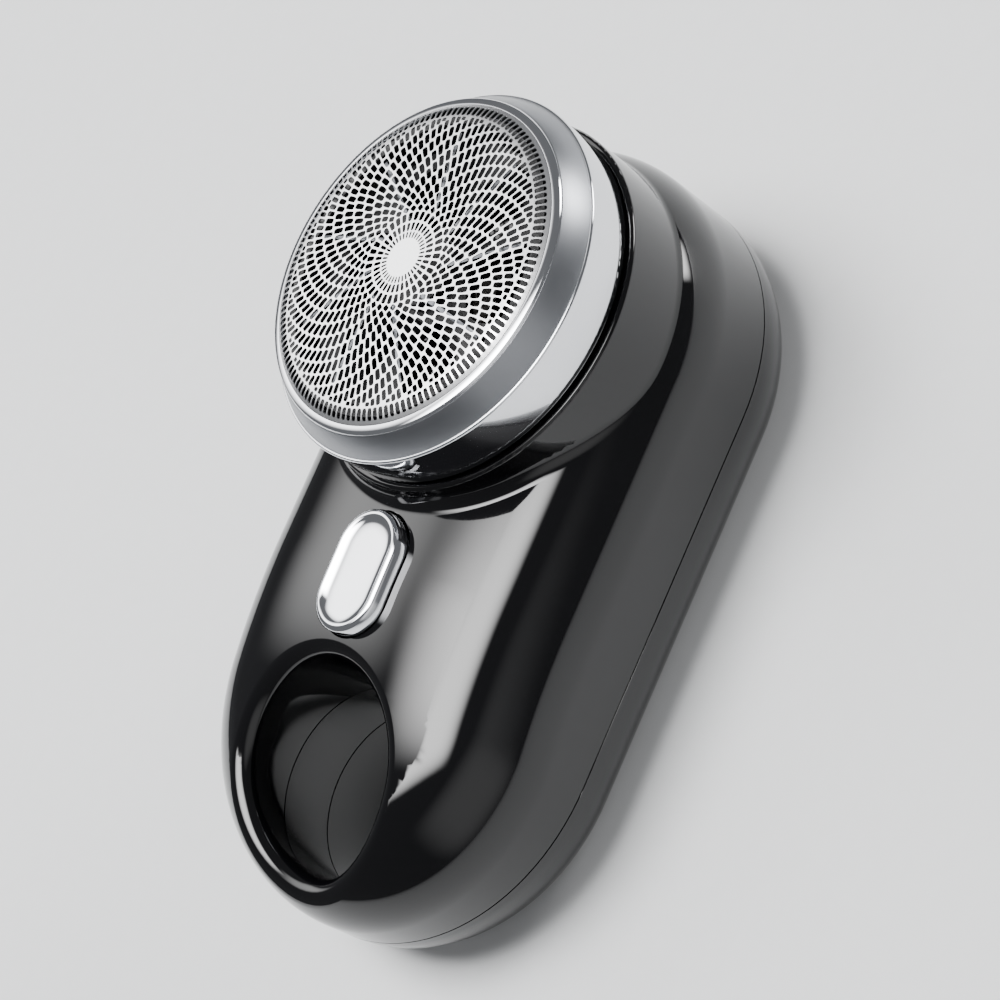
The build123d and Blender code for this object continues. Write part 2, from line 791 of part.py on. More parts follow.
os.makedirs("parts", exist_ok=True)
for piece in pieces:
    export_step(piece(), f"parts/{piece.__name__}.step")
print("button tilt", round(button_tilt, 2), "degrees; grip face there", round(button_face, 2), "mm")
print("overall", body_width, "x", body_length, "x", round(foil_rim + foil_thickness + foil_crown, 2), "mm")
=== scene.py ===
# %% [markdown]
# # A pocket shaver in black gloss and chrome
# The engineering model is already whole: shells, head cap, cutter, drive, button and board.
# It arrives as a fixed frame, in metres, with every piece in its place. This lesson gives it
# its looks. We take the places from the frame, remodel what the eye rests on, and give every
# piece the finish that the real one has.

# %% Load the frame
import bpy
import bmesh
import json
from math import cos, hypot, pi, radians, sin, sqrt
from mathutils import Matrix, Vector


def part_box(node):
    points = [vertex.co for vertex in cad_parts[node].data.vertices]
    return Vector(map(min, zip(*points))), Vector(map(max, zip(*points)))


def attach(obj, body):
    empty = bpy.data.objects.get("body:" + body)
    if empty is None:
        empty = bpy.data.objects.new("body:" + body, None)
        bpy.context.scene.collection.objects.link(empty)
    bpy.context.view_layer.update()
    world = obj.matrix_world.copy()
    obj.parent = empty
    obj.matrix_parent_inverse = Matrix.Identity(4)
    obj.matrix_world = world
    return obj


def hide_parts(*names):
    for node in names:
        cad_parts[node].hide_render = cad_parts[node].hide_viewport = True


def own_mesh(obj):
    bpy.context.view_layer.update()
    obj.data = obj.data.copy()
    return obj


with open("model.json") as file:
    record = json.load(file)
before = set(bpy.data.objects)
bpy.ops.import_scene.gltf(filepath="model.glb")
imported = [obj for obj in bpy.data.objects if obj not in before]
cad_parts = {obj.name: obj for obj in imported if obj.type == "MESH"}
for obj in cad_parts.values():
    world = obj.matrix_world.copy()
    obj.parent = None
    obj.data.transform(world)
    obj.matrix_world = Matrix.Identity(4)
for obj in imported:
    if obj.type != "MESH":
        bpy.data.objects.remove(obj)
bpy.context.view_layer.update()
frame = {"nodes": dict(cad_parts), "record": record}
nodes = frame["nodes"]
mm = 0.001

# %% [markdown]
# The places that the looks need come from the boxes of the frame's own nodes: the head's
# axis, and the radii and heights of the rings in the head cap.

# %% Places
foil_low, foil_high = (Vector(corner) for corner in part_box("shaving_foil"))
band_low, band_high = (Vector(corner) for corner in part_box("chrome_band"))
bevel_low, bevel_high = (Vector(corner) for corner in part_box("bevel_ring"))
skirt_low, skirt_high = (Vector(corner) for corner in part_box("foil_skirt"))
band_overhang = 0.25 * mm       # the band stands this far outside the bevel ring
head = Vector(((foil_low.x + foil_high.x) / 2, (foil_low.y + foil_high.y) / 2, 0))
foil_radius = (foil_high.x - foil_low.x) / 2
band_radius = (bevel_high.x - bevel_low.x) / 2 + band_overhang
skirt_radius = (skirt_high.x - skirt_low.x) / 2
print("head axis at y", round(head.y / mm, 2), "mm, foil radius", round(foil_radius / mm, 2), "mm")

# %% [markdown]
# ## Materials
# A finish is a small network: a Principled surface, a pattern or two that vary it, and a
# little relief. One helper adds a node with its settings and its links, so a network reads
# from top to bottom. Colours are written as sRGB hex, the way a paint chart gives them, and
# one function turns them to the linear values that the renderer works with.

# %% Colour and node helpers
def colour(hex_value):
    """sRGB hex to a linear colour with full alpha."""
    parts = [int(hex_value[i:i + 2], 16) / 255 for i in (1, 3, 5)]
    linear = [c / 12.92 if c <= 0.04045 else ((c + 0.055) / 1.055) ** 2.4 for c in parts]
    return (*linear, 1.0)


def add(tree, kind, links=None, **settings):
    """Adds a node; settings are its properties or its sockets' values, links its inputs."""
    node = tree.nodes.new(kind)
    for name, value in settings.items():
        if hasattr(node, name):
            setattr(node, name, value)
        else:
            node.inputs[name.replace("_", " ")].default_value = value
    for socket, source in (links or {}).items():
        tree.links.new(source, node.inputs[socket])
    return node


def new_material(name, **settings):
    """An empty network with a Principled surface; constants go on the shader's own sockets."""
    material = bpy.data.materials.new(name)
    material.use_nodes = True
    tree = material.node_tree
    tree.nodes.clear()
    surface = tree.nodes.new("ShaderNodeBsdfPrincipled")
    for socket, value in settings.items():
        surface.inputs[socket.replace("_", " ")].default_value = value
    output = tree.nodes.new("ShaderNodeOutputMaterial")
    tree.links.new(surface.outputs["BSDF"], output.inputs["Surface"])
    place = tree.nodes.new("ShaderNodeTexCoord").outputs["Object"]
    return material, tree, surface, place


def per_metre(size_mm):
    """A pattern's scale for one feature of this size; coordinates are in metres."""
    return 1 / (size_mm * mm)


# %% [markdown]
# **Moulded plastics.** The shells are ABS from a polished mould. Piano black is very smooth,
# but never perfect: the surface swells and dips a little (orange peel), and handling leaves
# a haze of hairlines that the light catches. Inner mouldings are the same plastic with a
# fine spark-eroded grain.

# %% Plastics
def vary_roughness(tree, surface, pattern, low, high):
    """Maps a pattern's 0..1 onto a narrow range of roughness."""
    spread = add(tree, "ShaderNodeMapRange", {"Value": pattern}, To_Min=low, To_Max=high)
    tree.links.new(spread.outputs["Result"], surface.inputs["Roughness"])


def relief(tree, surface, pattern, depth_mm, strength=1.0):
    """Raises and dips the surface by a pattern."""
    bump = add(tree, "ShaderNodeBump", {"Height": pattern}, Strength=strength,
               Distance=depth_mm * mm)
    tree.links.new(bump.outputs["Normal"], surface.inputs["Normal"])


def two_tone(tree, surface, pattern, dark, light):
    """Lets a pattern drift between two close colours."""
    mix = add(tree, "ShaderNodeMix", {0: pattern}, data_type="RGBA")
    mix.inputs[6].default_value = colour(dark)
    mix.inputs[7].default_value = colour(light)
    tree.links.new(mix.outputs[2], surface.inputs["Base Color"])


def piano_black(name):
    """ABS moulded against a mirror-polished mould: deep black, crisp reflections."""
    material, tree, surface, place = new_material(name, IOR=1.49)
    haze = add(tree, "ShaderNodeTexNoise", {"Vector": place}, Scale=per_metre(9), Detail=3.0)
    scratches = add(tree, "ShaderNodeMapping", {"Vector": place}, Scale=(9.0, 0.6, 3.0))
    hairline = add(tree, "ShaderNodeTexNoise", {"Vector": scratches.outputs["Vector"]},
                   Scale=per_metre(2.2), Detail=6.0)
    both = add(tree, "ShaderNodeMath", {0: haze.outputs["Fac"], 1: hairline.outputs["Fac"]},
               operation="MULTIPLY")
    vary_roughness(tree, surface, both.outputs["Value"], 0.035, 0.085)
    two_tone(tree, surface, haze.outputs["Fac"], "#050506", "#08080A")
    peel = add(tree, "ShaderNodeTexNoise", {"Vector": place}, Scale=per_metre(3.5), Detail=1.0)
    relief(tree, surface, peel.outputs["Fac"], 0.0035)
    return material


def grained_plastic(name, dark, light, grain_mm=0.35, low=0.34, high=0.5):
    """Moulded plastic with the fine grain of a spark-eroded mould."""
    material, tree, surface, place = new_material(name, IOR=1.5)
    patch = add(tree, "ShaderNodeTexNoise", {"Vector": place}, Scale=per_metre(6), Detail=2.0)
    grain = add(tree, "ShaderNodeTexNoise", {"Vector": place}, Scale=per_metre(grain_mm),
                Detail=3.0)
    two_tone(tree, surface, patch.outputs["Fac"], dark, light)
    vary_roughness(tree, surface, grain.outputs["Fac"], low, high)
    relief(tree, surface, grain.outputs["Fac"], 0.01, 0.5)
    return material


gloss_shell = piano_black("piano_black_abs")
inner_gloss = grained_plastic("black_abs_fine_grain", "#0A0A0B", "#101012", 0.3, 0.14, 0.24)
dark_plastic = grained_plastic("black_moulded_plastic", "#121214", "#1A1A1C")
white_acetal = grained_plastic("white_acetal", "#D9D7CF", "#E6E4DD", 0.4, 0.3, 0.42)
silicone = grained_plastic("black_silicone", "#0D0D0E", "#151516", 0.25, 0.55, 0.7)
print("plastics made")

# %% [markdown]
# **Metals.** Chrome plating on plastic is a mirror with a faint waviness. The bevel ring is
# turned and satin: its tool marks run round the head's axis, so its pattern is read from
# the distance to that axis. The foil is electroformed nickel, pale and silky.

# %% Metals
def distance_to_axis(tree, place, axis_point):
    """Distance from an upright axis, and the height, as one vector for turned finishes."""
    moved = add(tree, "ShaderNodeMapping", {"Vector": place},
                Location=(-axis_point.x, -axis_point.y, 0))
    parts = add(tree, "ShaderNodeSeparateXYZ", {"Vector": moved.outputs["Vector"]})
    flat = add(tree, "ShaderNodeCombineXYZ", {"X": parts.outputs["X"], "Y": parts.outputs["Y"]})
    length = add(tree, "ShaderNodeVectorMath", {0: flat.outputs["Vector"]}, operation="LENGTH")
    return add(tree, "ShaderNodeCombineXYZ",
               {"X": length.outputs["Value"], "Z": parts.outputs["Z"]}).outputs["Vector"]


def polished_chrome(name):
    """Chrome plated on polished plastic: a clean cool mirror, slightly wavy."""
    material, tree, surface, place = new_material(name, Metallic=1.0)
    smear = add(tree, "ShaderNodeTexNoise", {"Vector": place}, Scale=per_metre(5), Detail=4.0)
    two_tone(tree, surface, smear.outputs["Fac"], "#DADCE0", "#E9EAED")
    vary_roughness(tree, surface, smear.outputs["Fac"], 0.03, 0.085)
    wave = add(tree, "ShaderNodeTexNoise", {"Vector": place}, Scale=per_metre(6), Detail=0.0)
    relief(tree, surface, wave.outputs["Fac"], 0.006)
    return material


def turned_metal(name, axis_point, dark, light, mark_mm, low, high, depth_mm=0.004):
    """Metal finished on a lathe: tool marks run round its axis."""
    material, tree, surface, place = new_material(name, Metallic=1.0)
    rings = distance_to_axis(tree, place, axis_point)
    marks = add(tree, "ShaderNodeTexNoise", {"Vector": rings}, Scale=per_metre(mark_mm),
                Detail=4.0)
    cloud = add(tree, "ShaderNodeTexNoise", {"Vector": place}, Scale=per_metre(7), Detail=2.0)
    two_tone(tree, surface, cloud.outputs["Fac"], dark, light)
    vary_roughness(tree, surface, marks.outputs["Fac"], low, high)
    relief(tree, surface, marks.outputs["Fac"], depth_mm, 0.6)
    return material


def drawn_metal(name, dark, light, low=0.22, high=0.36, grain_mm=0.5):
    """Rolled, drawn or ground metal with a fine even grain."""
    material, tree, surface, place = new_material(name, Metallic=1.0)
    stretch = add(tree, "ShaderNodeMapping", {"Vector": place}, Scale=(1.0, 1.0, 6.0))
    grain = add(tree, "ShaderNodeTexNoise", {"Vector": stretch.outputs["Vector"]},
                Scale=per_metre(grain_mm), Detail=4.0)
    two_tone(tree, surface, grain.outputs["Fac"], dark, light)
    vary_roughness(tree, surface, grain.outputs["Fac"], low, high)
    relief(tree, surface, grain.outputs["Fac"], 0.003, 0.5)
    return material


chrome = polished_chrome("chrome_plating")
satin_ring = turned_metal("satin_grey_turned_ring", head, "#84868A", "#96989C", 0.16, 0.28, 0.4)
foil_nickel = turned_metal("electroformed_nickel_foil", head, "#EDEEF0", "#F8F8F9", 0.3,
                           0.24, 0.34, 0.001)
blade_steel = drawn_metal("ground_blade_steel", "#6E7074", "#86888C")
spring_steel = drawn_metal("drawn_spring_wire", "#8C8E92", "#A6A8AC")
nickel_steel = drawn_metal("nickel_plated_steel", "#B2B1AC", "#C8C7C2")
dark_screw = drawn_metal("black_nickel_screw", "#4A4B4E", "#5E5F62")
bronze = drawn_metal("sintered_bronze", "#9A7444", "#B48A55", 0.4, 0.55)
copper = drawn_metal("enamelled_copper", "#9A4B22", "#B5602E", 0.3, 0.42, 0.8)
print("metals made")

# %% [markdown]
# **Inside.** Nothing in here is seen in use, but the piece comes apart on a bench: a green
# glass laminate board, a shrink-wrapped cell, ferrite magnets and two coloured leads.

# %% Inner materials
board_green = grained_plastic("green_solder_mask", "#0E4A26", "#14602F", 0.6, 0.3, 0.42)
cell_wrap = grained_plastic("blue_shrink_wrap", "#1D3C7A", "#27488C", 1.2, 0.22, 0.32)
ferrite = grained_plastic("pressed_ferrite", "#26262A", "#303034", 0.3, 0.5, 0.65)
lead_red = grained_plastic("red_pvc_insulation", "#8E1410", "#A31C16", 0.6, 0.35, 0.45)

finish_of = {
    "middle_frame": inner_gloss, "case_seal": silicone, "case_screws": dark_screw,
    "foil_retainer": dark_plastic, "latch_ring": dark_plastic, "head_seat": inner_gloss,
    "head_seal": silicone, "blade_carrier": dark_plastic, "cutter_blades": blade_steel,
    "drive_coupler": white_acetal, "coupler_spring": spring_steel, "motor_shaft": blade_steel,
    "rotor": copper, "field_magnets": ferrite, "motor_can": nickel_steel,
    "motor_end_cap": white_acetal, "motor_bush": bronze, "motor_bracket": dark_plastic,
    "motor_screws": nickel_steel, "motor_pad": silicone, "button_seal": silicone,
    "circuit_board": board_green, "board_components": dark_plastic,
    "tact_switch": dark_plastic, "switch_plunger": dark_plastic,
    "charge_port": nickel_steel, "port_tongue": dark_plastic, "battery_cell": cell_wrap,
    "battery_pad": silicone, "battery_leads": lead_red, "motor_leads": lead_red,
    "front_shell": gloss_shell, "rear_cover": gloss_shell, "power_button": chrome,
    "chrome_band": chrome, "bevel_ring": satin_ring, "foil_skirt": chrome,
    "shaving_foil": foil_nickel,
}


def give(piece, material):
    """Puts one finish on a piece, through its material slots."""
    if not piece.material_slots:
        piece.data.materials.append(material)
    for slot in piece.material_slots:
        slot.material = material


for name, node in nodes.items():
    give(node, finish_of[name])
print("finished", len(finish_of), "nodes")

# %% [markdown]
# ## Modelling helpers
# An operator works on whatever is selected, so each piece starts from a clean selection.
# A finished piece keeps its object at the origin and its place in its mesh.

# %% Selecting and finishing
def only(piece):
    """Leaves this piece alone selected and active."""
    bpy.ops.object.select_all(action="DESELECT")
    piece.select_set(True)
    bpy.context.view_layer.objects.active = piece


def settle(piece, name, body, material, stands_for=(), smooth_degrees=30.0):
    """Names a piece, fixes its place in its mesh, and hands it to its body."""
    only(piece)
    bpy.ops.object.transform_apply(location=True, rotation=True, scale=True)
    bpy.ops.object.shade_smooth_by_angle(angle=radians(smooth_degrees))
    piece.name = name
    piece.data.name = name
    give(piece, material)
    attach(piece, body)
    if stands_for:
        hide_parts(*stands_for)
    print(name, len(piece.data.polygons), "faces")
    return piece


# %% [markdown]
# ## The moulded shells
# The shells' shapes are right already, but a CAD node is loose triangles, and a mirror-black
# surface shows every one of them. A copy is merged into one skin and shaded smooth. Averaged
# normals still wobble where long thin triangles meet, so the outer skin gets true ones: the
# body is simple enough to say which way it faces at any point. It has a plan like a running
# track, a large rounding into the grip face, another into the back, and a grip face that
# swells across the body and falls away towards the tail.

# %% Which way the body faces
body_low, body_high = Vector(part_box("front_shell")[0]), Vector(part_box("front_shell")[1])
half_width = (body_high.x - body_low.x) / 2
half_length = (body_high.y - body_low.y) / 2
front_round = 8.75 * mm
back_round = 7.0 * mm
face_top = 22.9 * mm
face_swell = 60.0 * mm
level_end = head.y - 23.5 * mm
tail_height = 16.4 * mm
fall_run = level_end + half_length
fall_radius = (fall_run ** 2 + (face_top - tail_height) ** 2) / (2 * (face_top - tail_height))
hole_record = next(m for m in frame["record"]["mounts"] if m["name"] == "finger_hole")
hole = Vector((0, hole_record["pos_m"][1], 0))
hole_radius = hole_record["dims"]["r_mm"] * mm
hole_lip = 1.45 * mm
drum_radius = band_radius + 0.25 * mm
drum_blend = 1.5 * mm
drum_foot = 15 * mm             # in the drum's circle, faces above this are the head's own
lowest_rounding = 12 * mm       # the roundings worked out here are all above this
same_place = 0.03 * mm
upright_limit = 0.12            # a wall's facet normal leans less than this
near_body = cos(radians(14))    # a facet that leans more belongs to some other surface
near_rounding = cos(radians(25))
print("body", round(2 * half_width / mm, 1), "x", round(2 * half_length / mm, 1), "mm")


def plan_direction(point):
    """Direction out of the plan's centre line, and the distance from it."""
    straight = half_length - half_width
    nearest = Vector((0, max(-straight, min(straight, point.y)), 0))
    out = Vector((point.x, point.y, 0)) - nearest
    return out.normalized(), out.length


def face_direction(point):
    """Normal of the swelling, falling grip face."""
    side = Vector((point.x / face_swell, 0, 0))
    fall = max(0.0, level_end - point.y) / fall_radius
    return (side + Vector((0, -fall, sqrt(1 - fall ** 2)))).normalized()


def body_direction(point):
    """Normal of the body's outside at a point on it."""
    out, reach = plan_direction(point)
    if point.z < back_round:
        lean = (reach - (half_width - back_round)) / back_round
        lean = max(0.0, min(1.0, lean))
        return out * lean - Vector((0, 0, sqrt(1 - lean ** 2)))
    lean = max(0.0, min(1.0, (reach - (half_width - front_round)) / front_round))
    face = face_direction(point)
    if lean <= face.dot(out):
        return face
    return out * lean + Vector((0, 0, sqrt(1 - lean ** 2)))


def rolled_direction(out, lean, face):
    """Normal on a rounding between an upright wall and the face: lean 1 is the wall's."""
    up = (face - out * face.dot(out)).normalized()
    return out * lean + up * sqrt(1 - lean ** 2)


def true_normal(point, facing):
    """Exact normal where it is known: drum, hole, their roundings, or body; else nothing."""
    from_head = Vector((point.x - head.x, point.y - head.y, 0))
    from_hole = Vector((point.x - hole.x, point.y - hole.y, 0))
    level = abs(facing.z) < upright_limit
    if level and abs(from_head.length - drum_radius) < same_place:
        return from_head.normalized()
    if level and abs(from_hole.length - hole_radius) < same_place:
        return -from_hole.normalized()
    if from_head.length < drum_radius + same_place and point.z > drum_foot:
        return None
    known = body_direction(point)
    if point.z > lowest_rounding:
        blend_lean = (drum_radius + drum_blend - from_head.length) / drum_blend
        out = from_head.normalized()
        if known.dot(out) < blend_lean <= 1:
            known = rolled_direction(out, blend_lean, known)
            return known if known.dot(facing) > near_rounding else None
        lip_lean = (from_hole.length - hole_radius - hole_lip) / hole_lip
        out = from_hole.normalized()
        if -1 <= lip_lean < known.dot(out):
            known = rolled_direction(out, lip_lean, known)
            return known if known.dot(facing) > near_rounding else None
    return known if known.dot(facing) > near_body else None


# %% Skins of the moulded pieces
def copy_of(node_name, body, smooth_degrees=30.0):
    """A merged copy of a CAD node, which stands for it."""
    piece = nodes[node_name].copy()
    piece.data = nodes[node_name].data.copy()
    for key in [key for key in piece.keys() if key.startswith("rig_")]:
        del piece[key]
    piece.parent = None
    bpy.context.scene.collection.objects.link(piece)
    only(piece)
    bpy.ops.object.mode_set(mode="EDIT")
    bpy.ops.mesh.select_all(action="SELECT")
    bpy.ops.mesh.remove_doubles(threshold=0.001 * mm)
    bpy.ops.object.mode_set(mode="OBJECT")
    settle(piece, node_name + "_skin", body, finish_of[node_name], (node_name,),
           smooth_degrees)
    weigh = piece.modifiers.new("weigh_normals", "WEIGHTED_NORMAL")
    weigh.keep_sharp = True
    bpy.ops.object.modifier_apply(modifier=weigh.name)
    return piece


def true_skin(piece):
    """Gives every corner on the body's outside its exact normal."""
    normals = [Vector(corner.vector) for corner in piece.data.corner_normals]
    exact = 0
    for face in piece.data.polygons:
        for corner in face.loop_indices:
            place = piece.data.vertices[piece.data.loops[corner].vertex_index].co
            known = true_normal(place, face.normal)
            if known is not None:
                normals[corner] = known
                exact += 1
    piece.data.normals_split_custom_set(normals)
    print(piece.name, "corners with a true normal", exact, "of", len(normals))


for node_name, slot_name in (("front_shell", "gloss_shell"), ("rear_cover", "gloss_shell"),
                             ("middle_frame", "inner_gloss")):
    true_skin(copy_of(node_name, "housing"))

# %% [markdown]
# The coupler's spring is under the cutter. When the foil is pressed, the cutter gives by
# 0.6 mm and the coil closes. A merged copy of the spring stands for it and gets a mesh of
# its own; the copy is not flattened.

# %% The spring's copy
spring = copy_of("coupler_spring", "spindle")
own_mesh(spring)

# %% [markdown]
# ## The push button
# A chrome pill with a broken edge and a shallow dish for the fingertip. It is drawn as a
# circle whose two halves are moved apart, pulled up, and inset in steps: the first ones turn
# the edge over to the land, and the rest go down into the dish.

# %% The button
button_joint = next(j for j in frame["record"]["behaviour"]["joints"]
                    if j["name"] == "button_press")
button_axis = Vector(button_joint["axis"])
button_radius = 3.7 * mm
button_straight = 4.0 * mm
button_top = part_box("power_button")[1][2]
button_rise = 3.0 * mm          # from its hidden foot to its rim
button_reach = 25.15 * mm       # from the head's axis back to the button's middle
button_shy = 0.13 * mm          # its rim stays this far below the frame's own button
edge_steps = [(0.18, 0.16), (0.16, 0.08), (0.14, 0.03), (0.12, 0.0)]
dish_steps = [(0.2, -0.09), (0.25, -0.09), (0.4, -0.08), (0.7, -0.05)]
bpy.ops.object.select_all(action="DESELECT")
bpy.ops.mesh.primitive_circle_add(vertices=144, radius=button_radius, fill_type="NGON")
button = bpy.context.object
for vertex in button.data.vertices:
    vertex.co.y += button_straight / 2 if vertex.co.y > 0 else -button_straight / 2
bpy.ops.object.mode_set(mode="EDIT")
bpy.ops.mesh.select_all(action="SELECT")
bpy.ops.mesh.extrude_region_move(TRANSFORM_OT_translate={"value": (0, 0, button_rise)})
for border, height in edge_steps + dish_steps:
    bpy.ops.mesh.inset(thickness=border * mm, depth=height * mm)
bpy.ops.mesh.select_all(action="SELECT")
bpy.ops.mesh.normals_make_consistent(inside=False)
bpy.ops.object.mode_set(mode="OBJECT")
highest = max(vertex.co.z for vertex in button.data.vertices)
button.rotation_euler = Vector((0, 0, 1)).rotation_difference(button_axis).to_euler()
button.location = (0, head.y - button_reach, button_top - highest - button_shy)
settle(button, "power_button_chrome", "button", chrome, ("power_button",), 50.0)

# %% [markdown]
# ## Rings of the head cap
# The band, the bevel and the skirt are turned parts, so each is a small section spun round
# the head's axis. A circle primitive gives the section its corners, which are moved to their
# places; a narrow bevel then breaks each edge, as polishing does, and catches a bright line.

# %% Spun rings
ring_steps = 160


def spun_ring(corners, name, material, edge_mm=0.12, smooth_degrees=40.0):
    """Spins a closed section of (radius, height) corners round the head's axis."""
    bpy.ops.object.select_all(action="DESELECT")
    bpy.ops.mesh.primitive_circle_add(vertices=len(corners), radius=1.0, fill_type="NOTHING")
    piece = bpy.context.object
    for vertex, (radius, height) in zip(piece.data.vertices, corners):
        vertex.co = (head.x + radius, head.y, height)
    bpy.ops.object.mode_set(mode="EDIT")
    bpy.ops.mesh.select_all(action="SELECT")
    bpy.ops.mesh.spin(steps=ring_steps, angle=2 * pi, center=head, axis=(0, 0, 1))
    bpy.ops.mesh.select_all(action="SELECT")
    bpy.ops.mesh.remove_doubles(threshold=0.001 * mm)
    bpy.ops.mesh.normals_make_consistent(inside=False)
    bpy.ops.object.mode_set(mode="OBJECT")
    soften = piece.modifiers.new("broken_edges", "BEVEL")
    soften.width = edge_mm * mm
    soften.segments = 3
    soften.limit_method = "ANGLE"
    soften.angle_limit = radians(20)
    bpy.ops.object.modifier_apply(modifier=soften.name)
    return settle(piece, name, "head_cap", material, (name.replace("_turned", ""),),
                  smooth_degrees)


band_wall = 1.2 * mm
band_taper = 0.3 * mm
band_low_radius = band_radius - band_taper
band_foot = (0.1 * mm, 0.25 * mm)       # chamfer at the band's foot: inwards, upwards
band_brow = (0.1 * mm, 0.2 * mm)        # and at its top: inwards, downwards
band_shy = 0.02 * mm                    # the band keeps inside the frame's own ring
flange = 0.8 * mm
bevel_wall = 0.9 * mm
bevel_inner = skirt_radius
flange_inner = bevel_inner - bevel_wall
skirt_step = (0.15 * mm, 0.2 * mm)      # inwards, upwards
spun_ring(
    [(band_low_radius - band_wall, band_low.z), (band_low_radius - band_foot[0], band_low.z),
     (band_low_radius, band_low.z + band_foot[1]),
     (band_radius - band_shy, band_high.z - band_brow[1]),
     (band_radius - band_shy - band_brow[0], band_high.z), (flange_inner, band_high.z),
     (flange_inner, band_high.z - flange), (band_low_radius - band_wall, band_high.z - flange)],
    "chrome_band_turned", chrome, 0.08)
spun_ring(
    [(flange_inner, bevel_low.z), (band_radius - band_overhang, bevel_low.z),
     (bevel_inner, bevel_high.z), (flange_inner, bevel_high.z)],
    "bevel_ring_turned", satin_ring, 0.1)
spun_ring(
    [(foil_radius, skirt_low.z), (bevel_inner, skirt_low.z),
     (bevel_inner - skirt_step[0], skirt_low.z + skirt_step[1]), (foil_radius, skirt_high.z)],
    "foil_skirt_turned", chrome, 0.05)

# %% [markdown]
# ## The shaving foil
# The foil is a shallow nickel dome pierced with about nine hundred slots. The pattern has
# thirty-six equal arms. One arm is a chain of slots: each step outwards goes a little
# further round, so the arms sweep in spirals. Near the pole the slots are short and lean
# over; near the rim they are long, narrow and stand along the radius. Three plain rings of
# slits surround the solid pole and one ring of long slots runs along the rim.
#
# We draw one arm's outlines flat, copy the arm round the axis with the spin operator, fill
# the sheet between the outlines, lay it on the dome and give it its thickness.

# %% The slots of one arm
arms = 36
bar = 0.13 * mm                 # width of metal left between two slots
staggered_limit = 13.62 * mm    # the arms end here, and the rim's own ring begins
first_radius = 4.72 * mm        # middle of an arm's first staggered slot
first_angle = -radians(2.0)
last_radius = 13.9 * mm         # no slot's middle lies beyond this
arm_angle = 2 * pi / arms


def blend_over(radius, stations):
    """Reads a value that changes in straight stretches between (radius, value) stations."""
    for (r0, v0), (r1, v1) in zip(stations, stations[1:]):
        if radius <= r1:
            share = max(0.0, (radius - r0) / (r1 - r0))
            return v0 + (v1 - v0) * share
    return stations[-1][1]


step_out = [(4.7 * mm, 0.61 * mm), (6.6 * mm, 0.70 * mm), (9.0 * mm, 0.58 * mm),
            (13.3 * mm, 0.29 * mm)]
step_round = [(4.6 * mm, 3.3), (11.0 * mm, 3.1), (13.6 * mm, 2.5)]
lean = [(4.6 * mm, 58.0), (5.4 * mm, 44.0), (7.3 * mm, 30.0), (9.6 * mm, 25.0),
        (11.4 * mm, 16.0), (13.6 * mm, 4.0)]
inner_rings = [(2.13, 0.62, 0.2), (2.93, 0.80, 0.34), (3.93, 0.88, 0.5)]    # radius, length, width


def arm_slots():
    """Slots of one arm as (radius, angle, half length, half width, lean)."""
    slots = []
    for radius_mm, length_mm, width_mm in inner_rings:
        slots.append((radius_mm * mm, 0.0, length_mm * mm / 2, width_mm * mm / 2, 0.0))
    radius = first_radius
    angle = first_angle
    while radius < last_radius:
        out = blend_over(radius, step_out)
        turn = radians(blend_over(radius, step_round))
        tilt = radians(blend_over(radius, lean))
        along = Vector((sin(tilt), cos(tilt)))          # (round, out) of the slot's long axis
        chain = Vector((-turn * radius, out))           # to the next slot in the arm
        across = Vector((arm_angle * radius, 0.0))      # to the same slot in the next arm
        cell = along.x * chain.y - along.y * chain.x
        length = (across.x * chain.y - across.y * chain.x) / cell - bar
        width = abs(cell) - bar
        outer_end = min(radius + length / 2, staggered_limit)
        inner_end = radius - length / 2
        slots.append(((outer_end + inner_end) / 2, angle, (outer_end - inner_end) / 2,
                      width / 2, tilt))
        radius += out
        angle -= turn
    return slots


slots = arm_slots()
rim_radius = 14.28 * mm
rim_slots = 4                   # for each arm
rim_slot_half = (0.53 * mm, 0.24 * mm)
for index in range(rim_slots):
    slots.append((rim_radius, index * arm_angle / rim_slots, *rim_slot_half, 0.0))
print("slots in one arm", len(slots), "in the foil", len(slots) * arms)

# %% Drawing, copying and filling
corner = 0.55                   # 1 would draw an ellipse, 0 a sharp rectangle


def outline_slot(radius, angle, half_length, half_width, tilt):
    """Adds one rounded slot outline in edit mode, lying flat."""
    bpy.ops.mesh.select_all(action="DESELECT")
    bpy.ops.mesh.primitive_circle_add(vertices=12, radius=1.0, fill_type="NOTHING")
    work = bmesh.from_edit_mesh(bpy.context.object.data)
    for vertex in (v for v in work.verts if v.select):
        x, y = vertex.co.x, vertex.co.y
        u = abs(x) ** corner * (1 if x > 0 else -1) * half_width
        v = abs(y) ** corner * (1 if y > 0 else -1) * half_length
        round_way = u * cos(tilt) + v * sin(tilt)
        out_way = -u * sin(tilt) + v * cos(tilt)
        reach = radius + out_way
        turn = angle + round_way / radius
        vertex.co = (head.x + reach * cos(turn), head.y + reach * sin(turn), 0)
    bmesh.update_edit_mesh(bpy.context.object.data)


